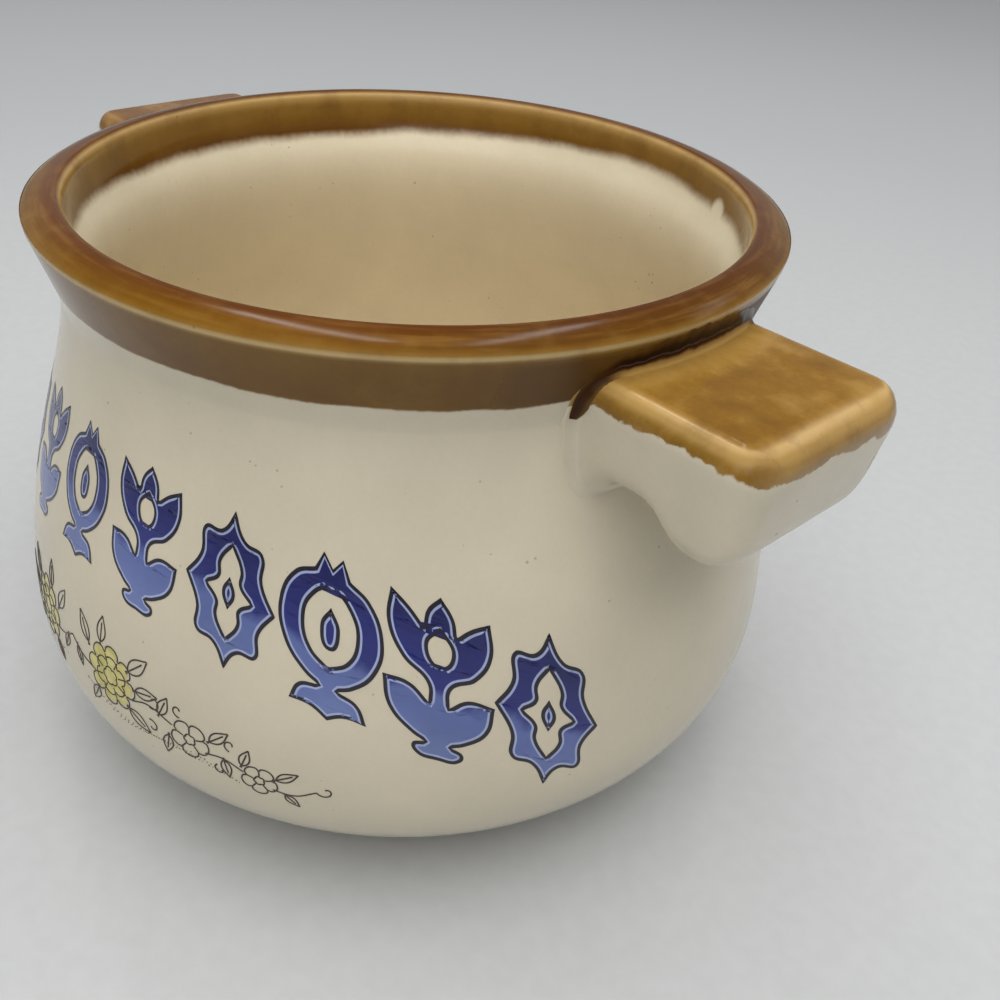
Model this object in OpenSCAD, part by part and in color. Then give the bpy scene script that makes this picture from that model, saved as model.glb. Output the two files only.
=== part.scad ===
// Lug soup bowl of glazed stoneware: a round pot with a flared lip and two solid side lugs.
// The pot stands on its foot ring at z = 0, its axis is Z, and the lugs lie along X.

/* [Rim] */
// Outer diameter at the arris, the sharp edge under the lip
rim_d = 114; // [108:1:124]
// Overall height of the bowl
bowl_h = 96; // [88:1:112]
// Drop from the top of the lip to the arris
arris_drop = 2; // [1:0.1:3]
// Width of the lip from its inner edge to the arris
lip_w = 6; // [5:0.1:7.5]

/* [Pot] */
// Outer diameter of the neck, the narrowest place under the lip
neck_d = 107.4; // [100:0.2:112]
// Drop from the top of the lip to the neck
neck_drop = 13.6; // [11:0.1:18]
// Outer diameter of the belly at its widest
belly_d = 131; // [120:1:145]
// Height of the widest place above the table
belly_z = 30; // [24:0.5:36]
// Thickness of the wall at the neck and belly
wall_t = 5; // [3.6:0.1:6]
// Thickness of the floor
floor_t = 6; // [4:0.1:8]

/* [Foot] */
// Outer diameter of the foot ring
foot_d = 86; // [76:1:96]
// Height of the foot ring under the pot
foot_h = 2; // [1.2:0.1:3.5]
// Width of the flat face that the pot stands on
foot_w = 4; // [2.5:0.1:7]
// Height of the bevel on both edges of the foot ring
foot_bevel = 0.5; // [0.2:0.1:0.8]

/* [Lugs] */
// Distance over both lugs, from end to end
lug_span = 157; // [142:0.5:170]
// Width of a lug
lug_w = 32.8; // [24:0.2:38]
// Drop from the top of the lip to the flat top of a lug
lug_drop = 6.4; // [5.6:0.1:9]
// Depth of a lug at its outer end
lug_depth = 17.4; // [14:0.1:20]
// How far the finger hollow rises into the underside
lug_hollow = 4.2; // [1:0.1:5.5]
// How far the bottom of the outer end is set in, so that the lug leaves its mould
lug_draft = 2.2; // [0.5:0.1:4]
// How far each side of a lug is set in at the bottom
lug_taper = 0.6; // [0:0.1:2]
// Radius of the top and bottom edges of a lug
lug_edge = 3.4; // [2:0.1:4.5]
// Radius of the outer corners of a lug, seen from above
lug_corner = 5; // [3:0.1:8]
// Radius of the clay fillet where a lug meets the wall
fillet_r = 1.6; // [1.2:0.1:4]
// How much higher the left lug sits than the right one, since both are luted on by hand
left_lift = 1; // [0:0.1:1.2]

/* [Hidden] */

// Place of the lip's crown, as a share of its width from the arris
crown_share = 0.8;

// Radii and heights that the sizes above lead to
rim_r = rim_d / 2;
neck_r = neck_d / 2;
belly_r = belly_d / 2;
foot_r = foot_d / 2;
arris_z = bowl_h - arris_drop;
neck_z = bowl_h - neck_drop;
crown_r = rim_r - crown_share * lip_w;
mouth_r = rim_r - lip_w;
floor_z = foot_h + floor_t;
lug_top = bowl_h - lug_drop;
lug_bottom = lug_top - lug_depth;
lug_end = lug_span / 2;

// Points along each curve of the profile, and around each face of revolution
curve_steps = 14;
revolve_fn = 144;

// How far a curve follows its end directions, as shares of the height or width it spans
belly_up_share = 0.42;
neck_down_share = 0.2;
neck_up_share = 0.16;
arris_down_share = 0.26;
shoulder_share = 0.5;
slope_share = 0.3;
belly_down_share = 0.5;
foot_out_share = 0.52;
foot_rise_share = 0.19;
floor_flat_share = 0.34;
floor_turn_share = 0.74;

// Point at t, from 0 to 1, of a cubic curve from a to d that heads for b and comes from c
function bezier(a, b, c, d, t) =
    pow(1 - t, 3) * a + 3 * t * pow(1 - t, 2) * b + 3 * t * t * (1 - t) * c + pow(t, 3) * d;

// The curve as a list of points, without its last one
function curve(a, b, c, d) =
    [for (i = [0 : curve_steps - 1]) bezier(a, b, c, d, i / curve_steps)];

// Underside of the belly, from the foot ring out to the widest place
function under_belly() = curve(
    [foot_r, foot_h],
    [foot_r + foot_out_share * (belly_r - foot_r), foot_h + foot_rise_share * (belly_z - foot_h)],
    [belly_r, belly_z - belly_down_share * (belly_z - foot_h)],
    [belly_r, belly_z]);

// Outside of the pot from the widest place up to the neck
function side() = curve(
    [belly_r, belly_z],
    [belly_r, belly_z + belly_up_share * (neck_z - belly_z)],
    [neck_r, neck_z - neck_down_share * (neck_z - belly_z)],
    [neck_r, neck_z]);

// Flare from the neck up and out to the arris
function flare() = curve(
    [neck_r, neck_z],
    [neck_r, neck_z + neck_up_share * (arris_z - neck_z)],
    [rim_r - arris_down_share * (rim_r - neck_r), arris_z - arris_down_share * (arris_z - neck_z)],
    [rim_r, arris_z]);

// Rolled top of the lip, from the arris over the crown to the mouth
function lip() = concat(
    curve(
        [rim_r, arris_z],
        [rim_r, arris_z + shoulder_share * arris_drop],
        [crown_r + slope_share * (rim_r - crown_r), bowl_h],
        [crown_r, bowl_h]),
    curve(
        [crown_r, bowl_h],
        [crown_r - shoulder_share * (crown_r - mouth_r), bowl_h],
        [mouth_r, bowl_h - shoulder_share * arris_drop],
        [mouth_r, arris_z]));

// Inside of the collar, from the mouth down to the neck
function collar_inside() = curve(
    [mouth_r, arris_z],
    [mouth_r, arris_z - shoulder_share * (arris_z - neck_z)],
    [neck_r - wall_t, neck_z + shoulder_share * (arris_z - neck_z)],
    [neck_r - wall_t, neck_z]);

// Inside of the pot from the widest place down to the level floor
function floor_inside() = curve(
    [belly_r - wall_t, belly_z],
    [belly_r - wall_t, belly_z - floor_turn_share * (belly_z - floor_z)],
    [floor_turn_share * (belly_r - wall_t), floor_z],
    [floor_flat_share * (belly_r - wall_t), floor_z]);

// Inside of the pot from the neck down to the widest place
function side_inside() = curve(
    [neck_r - wall_t, neck_z],
    [neck_r - wall_t, neck_z - neck_down_share * (neck_z - belly_z)],
    [belly_r - wall_t, belly_z + belly_up_share * (neck_z - belly_z)],
    [belly_r - wall_t, belly_z]);

// Half section of the whole pot
function pot_profile() = concat(
    [
        [0, foot_h],
        [foot_r - foot_w - foot_h, foot_h],
        [foot_r - foot_w - foot_bevel, foot_bevel],
        [foot_r - foot_w, 0],
        [foot_r - foot_bevel, 0],
        [foot_r, foot_bevel]
    ],
    under_belly(),
    side(),
    flare(),
    lip(),
    collar_inside(),
    side_inside(),
    floor_inside(),
    [[floor_flat_share * (belly_r - wall_t), floor_z], [0, floor_z]]);

// Outer half section filled to the axis, which cuts the root of each lug to fit the wall
function wall_profile() = concat(
    [[0, belly_z]],
    side(),
    flare(),
    [[rim_r, arris_z], [0, arris_z]]);

// Outer radius of the wall at a height z, read off the same curves
wall_table = [for (p = concat(side(), flare())) [p[1], p[0]]];
function wall_radius(z) = lookup(z, wall_table);

// Steps of a lug's surface along its fillet, its middle and its rounded outer end, around
// each corner of its section, and along each straight side
fillet_steps = 7;
middle_steps = 11;
end_steps = 8;
corner_steps = 7;
span_steps = 6;

// Middle and width of the finger hollow along the reach, as shares
hollow_middle_share = 0.38;
hollow_width_share = 0.24;

// How deep a lug starts inside the wall before its root is cut
bury = wall_t / 3;
reach = lug_end - neck_r + bury;

// Share of the reach where the outer end starts to round off, and the angle turned there
end_share = 1 - lug_corner / reach;
function end_turn(s) = s <= end_share ? 0 : asin(min(1, (s - end_share) / (1 - end_share)));
function pull_in(s, r) = r * (1 - cos(end_turn(s)));

// How far the clay fillet widens a section near the wall, at a share s of the reach.
// The fillet's arc starts a little inside the wall, so it meets the wall at a clear angle.
sink_share = 0.06;
fillet_start = bury - sink_share * fillet_r;
fillet_end_share = (fillet_start + fillet_r) / reach;
function fillet_rise(s) = max(0, min(fillet_r, s * reach - fillet_start));
function spread(s) = fillet_r - sqrt(pow(fillet_r, 2) - pow(fillet_r - fillet_rise(s), 2));

// Height of the underside at a share s of the reach, with the finger hollow
function underside(s) =
    lug_bottom + lug_hollow * exp(-pow((s - hollow_middle_share) / hollow_width_share, 4));

// Quarter circle of a section about [y, z], from the angle start
function corner(y, z, r, start) = [
    for (i = [0 : corner_steps])
        let (a = start + 90 * i / corner_steps)
        [y + r * cos(a), z + r * sin(a)]
];

// Points between a and b, without both
function span(a, b) = [for (i = [1 : span_steps - 1]) a + (b - a) * i / span_steps];

// Four corners of a section joined by their straight sides
function joined(corners) = [
    for (i = [0 : 3])
        each concat(corners[i], span(corners[i][corner_steps], corners[(i + 1) % 4][0]))
];

// Section of a lug at a share s of the reach, as points [y, z]
function section(s) =
    let (
        half = lug_w / 2 + spread(s) - pull_in(s, lug_corner),
        top = lug_top - pull_in(s, lug_edge),
        low = underside(s) - spread(s) + pull_in(s, lug_edge),
        r = min(lug_edge, half / 2, (top - low) / 2)
    )
    joined([
        corner(half - r, top - r, r, 0),
        corner(r - half, top - r, r, 90),
        corner(r - half, low + r, r, 180),
        corner(half - r, low + r, r, 270)
    ]);

// Share of the lug's depth that a height z lies below its top
function depth_share(z) = (lug_top - z) / lug_depth;

// Draft of the outer end at a height z, which starts under the rounded top edge
function draft(z) = lug_draft * max(0, lug_top - lug_edge - z) / (lug_depth - lug_edge);

// Place of a section's point at a share s, between the curved wall and the drafted outer end,
// for a lug that is raised by lift
function lug_point(s, y, z, lift) =
    let (
        width = y * (1 - depth_share(z) * lug_taper * 2 / lug_w),
        root = sqrt(pow(wall_radius(z + lift) - bury, 2) - width * width),
        end = lug_end - draft(z)
    )
    [root * (1 - s) + end * s, width, z + lift];

// A lug along +X, raised by lift, before its root is cut to the wall
module lug_form(lift) {
    fillet_shares = [
        for (i = [0 : fillet_steps])
            (fillet_start + fillet_r * (1 - cos(90 * i / fillet_steps))) / reach
    ];
    middle_shares = [
        for (i = [1 : middle_steps - 1])
            fillet_end_share + (end_share - fillet_end_share) * i / middle_steps
    ];
    end_shares = [for (i = [0 : end_steps]) end_share + (1 - end_share) * sin(90 * i / end_steps)];
    shares = concat([0], fillet_shares, middle_shares, end_shares);
    m = len(section(0));
    n = len(shares);
    points = [
        for (s = shares)
            for (p = section(s))
                lug_point(s, p[0], p[1], lift)
    ];
    skin = [
        for (i = [0 : n - 2])
            for (j = [0 : m - 1])
                let (k = (j + 1) % m)
                each [
                    [i * m + j, (i + 1) * m + j, (i + 1) * m + k],
                    [i * m + j, (i + 1) * m + k, i * m + k]
                ]
    ];
    root_face = [for (j = [0 : m - 1]) j];
    end_face = [for (j = [0 : m - 1]) n * m - 1 - j];
    polyhedron(points, concat([root_face], skin, [end_face]));
}

// Pot with its lip, neck, belly and foot ring, turned about Z
module bowl() {
    color("#d8cfba")
    rotate_extrude($fn = revolve_fn)
        polygon(pot_profile());
}

// A lug, raised by lift, with its root cut to seat on the wall
module lug(lift) {
    difference() {
        lug_form(lift);
        rotate_extrude($fn = revolve_fn)
            polygon(wall_profile());
    }
}

// Lug on the +X side
module lug_right() {
    color("#a8763a")
    lug(0);
}

// Lug on the -X side
module lug_left() {
    color("#a8763a")
    rotate([0, 0, 180])
        lug(left_lift);
}

bowl();
lug_right();
lug_left();
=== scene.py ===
import math

import bmesh
import bpy
from mathutils import Matrix, Vector
from mathutils.bvhtree import BVHTree
from mathutils.geometry import interpolate_bezier


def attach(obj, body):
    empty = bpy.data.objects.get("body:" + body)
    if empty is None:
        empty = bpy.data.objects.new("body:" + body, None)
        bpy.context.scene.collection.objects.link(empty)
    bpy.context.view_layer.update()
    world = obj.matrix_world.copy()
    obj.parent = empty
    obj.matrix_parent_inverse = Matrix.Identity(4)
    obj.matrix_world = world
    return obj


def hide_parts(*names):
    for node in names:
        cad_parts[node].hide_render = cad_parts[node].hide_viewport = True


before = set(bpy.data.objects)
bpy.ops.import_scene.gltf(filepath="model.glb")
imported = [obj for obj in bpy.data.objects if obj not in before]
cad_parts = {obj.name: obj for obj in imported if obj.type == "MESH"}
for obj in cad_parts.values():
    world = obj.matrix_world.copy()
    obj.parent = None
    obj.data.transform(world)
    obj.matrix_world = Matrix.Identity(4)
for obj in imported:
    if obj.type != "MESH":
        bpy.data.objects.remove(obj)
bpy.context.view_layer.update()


# Camera
# The eye is 17 cm from the middle of the mouth, about half way round from the printed front to
# the right lug. Its place and lens are fitted to the lip, the belly's outline and the near lug.
eye = (0.12563, -0.10407, 0.14735)
camera_right = Vector((0.6593, 0.7498, 0.0556)).normalized()
camera_back = Vector((0.5741, -0.5498, 0.6068)).normalized()
camera_up = camera_back.cross(camera_right).normalized()
camera_right = camera_up.cross(camera_back)
camera_data = bpy.data.cameras.new("camera")
camera_data.sensor_width = 36
camera_data.lens = 37.8
camera_data.shift_x = 0.0356
camera_data.shift_y = 0.0613
camera_data.clip_start = 0.01
camera = bpy.data.objects.new("camera", camera_data)
camera_turn = Matrix((camera_right, camera_up, camera_back)).transposed()
camera.matrix_world = Matrix.Translation(eye) @ camera_turn.to_4x4()
bpy.context.scene.collection.objects.link(camera)
bpy.context.scene.camera = camera


# Pot
# The pot is one wall of buff stoneware, turned with a swept belly, a flared lip with a sharp
# arris, and a foot ring. It is dipped in cream glaze, and its lip is dipped again in amber.

# Sizes in millimetres, as in the CAD model's own profile
MM = 0.001
rim_r = 57
bowl_h = 96
arris_z = 94
lip_w = 6
neck_r = 53.7
neck_z = 82.4
belly_r = 65.5
belly_z = 30
wall_t = 5
floor_z = 8
foot_r = 43
foot_h = 2
foot_w = 4
foot_bevel = 0.5
arris_bevel = 0.45
crown_share = 0.8
crown_r = rim_r - crown_share * lip_w
mouth_r = rim_r - lip_w
arris_drop = bowl_h - arris_z
side_rise = neck_z - belly_z
flare_rise = arris_z - neck_z
curve_steps = 26
spin_steps = 192

# How far a curve follows its end directions, as shares of the height or width it spans
belly_up_share = 0.42
neck_down_share = 0.2
neck_up_share = 0.16
arris_down_share = 0.26
shoulder_share = 0.5
slope_share = 0.3
belly_down_share = 0.5
foot_out_share = 0.52
foot_rise_share = 0.19
floor_flat_share = 0.34
floor_turn_share = 0.74


def curve(a, b, c, d):
    """Points [radius, height] of one curve of the profile, without its last one."""
    ends = [Vector((p[0], p[1], 0)) for p in (a, b, c, d)]
    return [(p.x, p.y) for p in interpolate_bezier(*ends, curve_steps + 1)[:-1]]


foot = [
    (0, foot_h),
    (foot_r - foot_w - foot_h, foot_h),
    (foot_r - foot_w - foot_bevel, foot_bevel),
    (foot_r - foot_w, 0),
    (foot_r - foot_bevel, 0),
    (foot_r, foot_bevel),
]
underside = curve(
    (foot_r, foot_h),
    (foot_r + foot_out_share * (belly_r - foot_r), foot_h + foot_rise_share * (belly_z - foot_h)),
    (belly_r, belly_z - belly_down_share * (belly_z - foot_h)),
    (belly_r, belly_z),
)
side = curve(
    (belly_r, belly_z),
    (belly_r, belly_z + belly_up_share * side_rise),
    (neck_r, neck_z - neck_down_share * side_rise),
    (neck_r, neck_z),
)
flare = curve(
    (neck_r, neck_z),
    (neck_r, neck_z + neck_up_share * flare_rise),
    (rim_r - arris_down_share * (rim_r - neck_r), arris_z - arris_down_share * flare_rise),
    (rim_r, arris_z),
)
lip = curve(
    (rim_r, arris_z),
    (rim_r, arris_z + shoulder_share * arris_drop),
    (crown_r + slope_share * (rim_r - crown_r), bowl_h),
    (crown_r, bowl_h),
) + curve(
    (crown_r, bowl_h),
    (crown_r - shoulder_share * (crown_r - mouth_r), bowl_h),
    (mouth_r, bowl_h - shoulder_share * arris_drop),
    (mouth_r, arris_z),
)
inside = (
    curve(
        (mouth_r, arris_z),
        (mouth_r, arris_z - shoulder_share * flare_rise),
        (neck_r - wall_t, neck_z + shoulder_share * flare_rise),
        (neck_r - wall_t, neck_z),
    )
    + curve(
        (neck_r - wall_t, neck_z),
        (neck_r - wall_t, neck_z - neck_down_share * side_rise),
        (belly_r - wall_t, belly_z + belly_up_share * side_rise),
        (belly_r - wall_t, belly_z),
    )
    + curve(
        (belly_r - wall_t, belly_z),
        (belly_r - wall_t, belly_z - floor_turn_share * (belly_z - floor_z)),
        (floor_turn_share * (belly_r - wall_t), floor_z),
        (floor_flat_share * (belly_r - wall_t), floor_z),
    )
    + [(floor_flat_share * (belly_r - wall_t), floor_z), (0, floor_z)]
)
outside = foot + underside + side + flare
profile = outside + lip + inside
wall_line = foot[-1:] + underside + side + flare + lip[:1]


def wall_radius(z):
    """Outer radius of the pot at a height z, both in millimetres."""
    for (r0, z0), (r1, z1) in zip(wall_line, wall_line[1:]):
        if z0 <= z <= z1:
            return r0 + (r1 - r0) * (z - z0) / (z1 - z0)
    return belly_r


steps_per_mm = 20
wall_steps = [wall_radius(i / steps_per_mm) for i in range(int(arris_z * steps_per_mm) + 1)]


def wall_at(z):
    """As wall_radius, but quicker: read from steps of 0.05 mm."""
    return wall_steps[min(len(wall_steps) - 1, max(0, round(z * steps_per_mm)))]


# Distance along the profile from the arris, minus going down outside and plus going inside
profile_run = [0.0]
for (r0, z0), (r1, z1) in zip(profile, profile[1:]):
    profile_run.append(profile_run[-1] + math.hypot(r1 - r0, z1 - z0))
arris_run = profile_run[len(outside)]
profile_run = [s - arris_run for s in profile_run]
run_known = {}


def run_at(r, z):
    """Distance along the profile of the point of it that is nearest to [r, z]."""
    key = (round(r, 2), round(z, 2))
    if key not in run_known:
        best = (1e9, 0)
        for i, ((r0, z0), (r1, z1)) in enumerate(zip(profile, profile[1:])):
            length = math.hypot(r1 - r0, z1 - z0)
            t = ((r - r0) * (r1 - r0) + (z - z0) * (z1 - z0)) / max(length * length, 1e-9)
            t = min(1, max(0, t))
            off = math.hypot(r0 + t * (r1 - r0) - r, z0 + t * (z1 - z0) - z)
            best = min(best, (off, profile_run[i] + t * length))
        run_known[key] = best[1]
    return run_known[key]


def finish_mesh(bm, name, materials, sharp_deg=40):
    """A smooth-shaded object from bm, with edges over sharp_deg kept crisp."""
    for f in bm.faces:
        f.smooth = True
    for e in bm.edges:
        e.smooth = not (e.is_manifold and e.calc_face_angle(0) > math.radians(sharp_deg))
    mesh = bpy.data.meshes.new(name)
    bm.to_mesh(mesh)
    bm.free()
    for material in materials:
        mesh.materials.append(material)
    piece = bpy.data.objects.new(name, mesh)
    bpy.context.scene.collection.objects.link(piece)
    return piece


def colour(r, g, b):
    """Scene colour of a screen colour given as 0 to 255."""
    parts = []
    for c in (r, g, b):
        c /= 255
        parts.append(c / 12.92 if c <= 0.04045 else ((c + 0.055) / 1.055) ** 2.4)
    return (*parts, 1)


def grey(level):
    """A grey given in scene values, where 1 is white."""
    return (level, level, level, 1)


def add(tree, kind, values, **settings):
    """A shader node with its settings, and its inputs set or linked by name or number."""
    node = tree.nodes.new(kind)
    for key, value in settings.items():
        setattr(node, key, value)
    for key, value in values.items():
        if isinstance(value, bpy.types.NodeSocket):
            tree.links.new(value, node.inputs[key])
        else:
            node.inputs[key].default_value = value
    return node


def object_place(tree):
    """The place on the piece, in metres of the shared frame."""
    return add(tree, "ShaderNodeTexCoord", {}).outputs["Object"]


def attribute(tree, name):
    """A value stored on the mesh's vertices."""
    return add(tree, "ShaderNodeAttribute", {}, attribute_name=name).outputs["Fac"]


def axes(tree, vector):
    """The node whose outputs are a vector's X, Y and Z."""
    return add(tree, "ShaderNodeSeparateXYZ", {0: vector})


def maths(tree, operation, a, b=0.0, c=0.0):
    """One sum on numbers that change over the surface."""
    return add(tree, "ShaderNodeMath", {0: a, 1: b, 2: c}, operation=operation).outputs[0]


def vectors(tree, operation, a, b=(0, 0, 0), gives="Vector"):
    """One sum on vectors that change over the surface."""
    return add(tree, "ShaderNodeVectorMath", {0: a, 1: b}, operation=operation).outputs[gives]


def rescale(tree, value, low, high, to_low=0.0, to_high=1.0, smooth=False):
    """The value from low to high made to_low to to_high, and held at both ends."""
    node = add(
        tree,
        "ShaderNodeMapRange",
        {"Value": value, "From Min": low, "From Max": high, "To Min": to_low, "To Max": to_high},
        interpolation_type="SMOOTHSTEP" if smooth else "LINEAR",
    )
    return node.outputs[0]


def noise(tree, place, scale, detail, roughness=0.5):
    """Clouds from 0 to 1."""
    values = {"Vector": place, "Scale": scale, "Detail": detail, "Roughness": roughness}
    return add(tree, "ShaderNodeTexNoise", values).outputs[0]


def swing(tree, clouds, amount):
    """Clouds from 0 to 1 made to swing about zero, over amount in all."""
    return maths(tree, "MULTIPLY", maths(tree, "SUBTRACT", clouds, 0.5), amount)


def blend(tree, factor, a, b):
    """Colour a turned into colour b as factor goes from 0 to 1."""
    return add(tree, "ShaderNodeMix", {0: factor, 6: a, 7: b}, data_type="RGBA").outputs[2]


def ramp(tree, factor, stops, ease="EASE"):
    """A colour ramp with stops (place, colour)."""
    node = add(tree, "ShaderNodeValToRGB", {0: factor})
    node.color_ramp.interpolation = ease
    band = node.color_ramp.elements
    band[0].position, band[0].color = stops[0]
    band[1].position, band[1].color = stops[-1]
    for place, shade in stops[1:-1]:
        band.new(place).color = shade
    return node.outputs[0]


def new_group(name, takes, gives):
    """An empty shader group with its sockets, as (tree, input node, output node)."""
    tree = bpy.data.node_groups.new(name, "ShaderNodeTree")
    for label, kind, value in takes:
        socket = tree.interface.new_socket(label, in_out="INPUT", socket_type=kind)
        socket.default_value = value
    for label, kind in gives:
        tree.interface.new_socket(label, in_out="OUTPUT", socket_type=kind)
    return tree, tree.nodes.new("NodeGroupInput"), tree.nodes.new("NodeGroupOutput")


def place_group(tree, group, **values):
    """A group node with its inputs set or linked by name."""
    return add(tree, "ShaderNodeGroup", values, node_tree=group)


FLOAT = "NodeSocketFloat"
SHADE = "NodeSocketColor"

# Poured edge: 1 where a coat of glaze covers, 0 past its wavy, slightly frayed edge. Along is
# how far the glaze has run, and it and all the others but Pace are in millimetres
poured_edge, enter, leave = new_group(
    "poured_edge",
    [
        ("Along", FLOAT, 0),
        ("Edge", FLOAT, 8),
        ("Wave", FLOAT, 0.6),
        ("Pace", FLOAT, 95),
        ("Fray", FLOAT, 0.25),
        ("Soft", FLOAT, 0.4),
    ],
    [("Cover", FLOAT)],
)
tree = poured_edge
spot = object_place(tree)
wave = swing(tree, noise(tree, spot, enter.outputs["Pace"], 1.5), enter.outputs["Wave"])
fray = swing(tree, noise(tree, spot, 900, 2), enter.outputs["Fray"])
reach = maths(tree, "ADD", enter.outputs["Edge"], maths(tree, "ADD", wave, fray))
gap = maths(tree, "SUBTRACT", reach, enter.outputs["Along"])
cover = rescale(tree, gap, 0.0, enter.outputs["Soft"], smooth=True)
tree.links.new(cover, leave.inputs["Cover"])

# Fired glaze: its colour clouded and specked with iron, its gloss and its gentle surface
fired_glaze, enter, leave = new_group(
    "fired_glaze",
    [
        ("Colour", SHADE, (1, 1, 1, 1)),
        ("Cloud", FLOAT, 0.1),
        ("Specks", FLOAT, 1),
        ("Gloss", FLOAT, 0.2),
    ],
    [("Colour", SHADE), ("Roughness", FLOAT), ("Height", FLOAT)],
)
tree = fired_glaze
spot = object_place(tree)
cells = add(tree, "ShaderNodeTexVoronoi", {"Vector": spot, "Scale": 520, "Randomness": 1})
speck_size = swing(tree, noise(tree, spot, 150, 0), 0.5)
in_speck = maths(tree, "SUBTRACT", speck_size, cells.outputs["Distance"])
specks = maths(tree, "MULTIPLY", rescale(tree, in_speck, 0.0, 0.05), enter.outputs["Specks"])
cloud = swing(tree, noise(tree, spot, 55, 4, 0.6), enter.outputs["Cloud"])
grain = swing(tree, noise(tree, spot, 1400, 2), 0.06)
lift = maths(tree, "ADD", maths(tree, "ADD", cloud, grain), 1.0)
values = {0: enter.outputs["Colour"], "Scale": lift}
clouded = add(tree, "ShaderNodeVectorMath", values, operation="SCALE").outputs[0]
iron = colour(92, 66, 40)
specked = blend(tree, maths(tree, "MULTIPLY", specks, 0.4), clouded, iron)
tree.links.new(specked, leave.inputs["Colour"])
dulling = maths(tree, "MULTIPLY", grain, 0.8)
tree.links.new(maths(tree, "ADD", enter.outputs["Gloss"], dulling), leave.inputs["Roughness"])
swell = maths(tree, "MULTIPLY", noise(tree, spot, 70, 1), 0.8)
peel = maths(tree, "MULTIPLY", noise(tree, spot, 600, 1), 0.05)
tree.links.new(maths(tree, "ADD", swell, peel), leave.inputs["Height"])

# Mottled amber: clouded like toffee, in streaks that run down the pot, thin on some spots
mottled_amber, enter, leave = new_group(
    "mottled_amber",
    [("Colour", SHADE, (1, 1, 1, 1)), ("Deep", FLOAT, 0.5), ("Thin", FLOAT, 0.4)],
    [("Colour", SHADE)],
)
tree = mottled_amber
spot = object_place(tree)
facing_out = vectors(tree, "NORMALIZE", vectors(tree, "MULTIPLY", spot, (1, 1, 0)))
on_ring = vectors(tree, "MULTIPLY", facing_out, (rim_r * MM, rim_r * MM, 0))
drawn_out = vectors(tree, "MULTIPLY", spot, (0, 0, 0.12))
blotch = noise(tree, spot, 130, 5, 0.62)
streak = noise(tree, vectors(tree, "ADD", on_ring, drawn_out), 420, 2)
fleck = noise(tree, spot, 1600, 1)
mixed = maths(tree, "MULTIPLY_ADD", streak, 0.14, maths(tree, "MULTIPLY", fleck, 0.06))
mixed = maths(tree, "MULTIPLY_ADD", blotch, 0.8, mixed)
deep = rescale(tree, mixed, 0.49, 0.66, to_high=enter.outputs["Deep"])
thin = rescale(tree, mixed, 0.49, 0.34, to_high=enter.outputs["Thin"])
deepened = blend(tree, deep, enter.outputs["Colour"], colour(84, 48, 14))
mottled = blend(tree, thin, deepened, colour(170, 134, 72))
tree.links.new(mottled, leave.inputs["Colour"])


def new_material(name):
    """A material with a Principled BSDF, as (material, its tree, the BSDF)."""
    material = bpy.data.materials.new(name)
    material.use_nodes = True
    return material, material.node_tree, material.node_tree.nodes["Principled BSDF"]


def wire_glaze(tree, shader, glaze, bump=0.00025):
    """Feeds a fired_glaze group into the shader, its height through a bump."""
    tree.links.new(glaze.outputs["Colour"], shader.inputs["Base Color"])
    tree.links.new(glaze.outputs["Roughness"], shader.inputs["Roughness"])
    values = {"Height": glaze.outputs["Height"], "Strength": 0.5, "Distance": bump}
    tree.links.new(add(tree, "ShaderNodeBump", values).outputs[0], shader.inputs["Normal"])


# The colours by their run along the profile in millimetres: amber is thin and light along the
# arris and the edge of the mouth, where the pale line is also a painted highlight, and cream is a
# little darker near the rim
run_low = -9.0
run_high = 16.5
amber_and_highlight_run = [
    (run_low, colour(132, 98, 40)),
    (-7.6, colour(106, 74, 20)),
    (-3.0, colour(108, 76, 22)),
    (-0.8, colour(112, 80, 28)),
    (-0.4, colour(140, 112, 62)),
    (-0.1, colour(188, 164, 118)),
    (0.15, colour(178, 152, 102)),
    (0.5, colour(126, 92, 34)),
    (1.0, colour(116, 80, 20)),
    (2.6, colour(108, 70, 12)),
    (3.8, colour(100, 59, 12)),
    (5.0, colour(92, 50, 12)),
    (5.8, colour(98, 58, 18)),
    # The pale line at the edge of the mouth: thin amber, and a painted highlight
    (6.4, colour(190, 158, 104)),
    (7.0, colour(164, 130, 72)),
    (8.4, colour(142, 106, 46)),
    (10.5, colour(122, 86, 26)),
    (12.5, colour(94, 58, 6)),
    (run_high, colour(124, 88, 30)),
]
cream_glaze = colour(202, 193, 171)
cream_reach = 30.0
# Deeper inside the bowl the cream is painted lighter, as painted light that lifts the shade in the
# bowl
cream_and_painted_light_run = [
    (0.0, cream_glaze),
    (1.5, cream_glaze),
    (12.0, colour(226, 215, 188)),
    (cream_reach, colour(222, 209, 180)),
]
pot_skin, tree, shader = new_material("cream_and_amber_glaze")
spot = object_place(tree)
place = axes(tree, spot)
run = attribute(tree, "run")
stops = [((s - run_low) / (run_high - run_low), shade) for s, shade in amber_and_highlight_run]
amber = ramp(tree, rescale(tree, run, run_low, run_high), stops, "LINEAR")
stops = [(s / cream_reach, shade) for s, shade in cream_and_painted_light_run]
cream = ramp(tree, rescale(tree, run, 0.0, cream_reach), stops)

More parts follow.
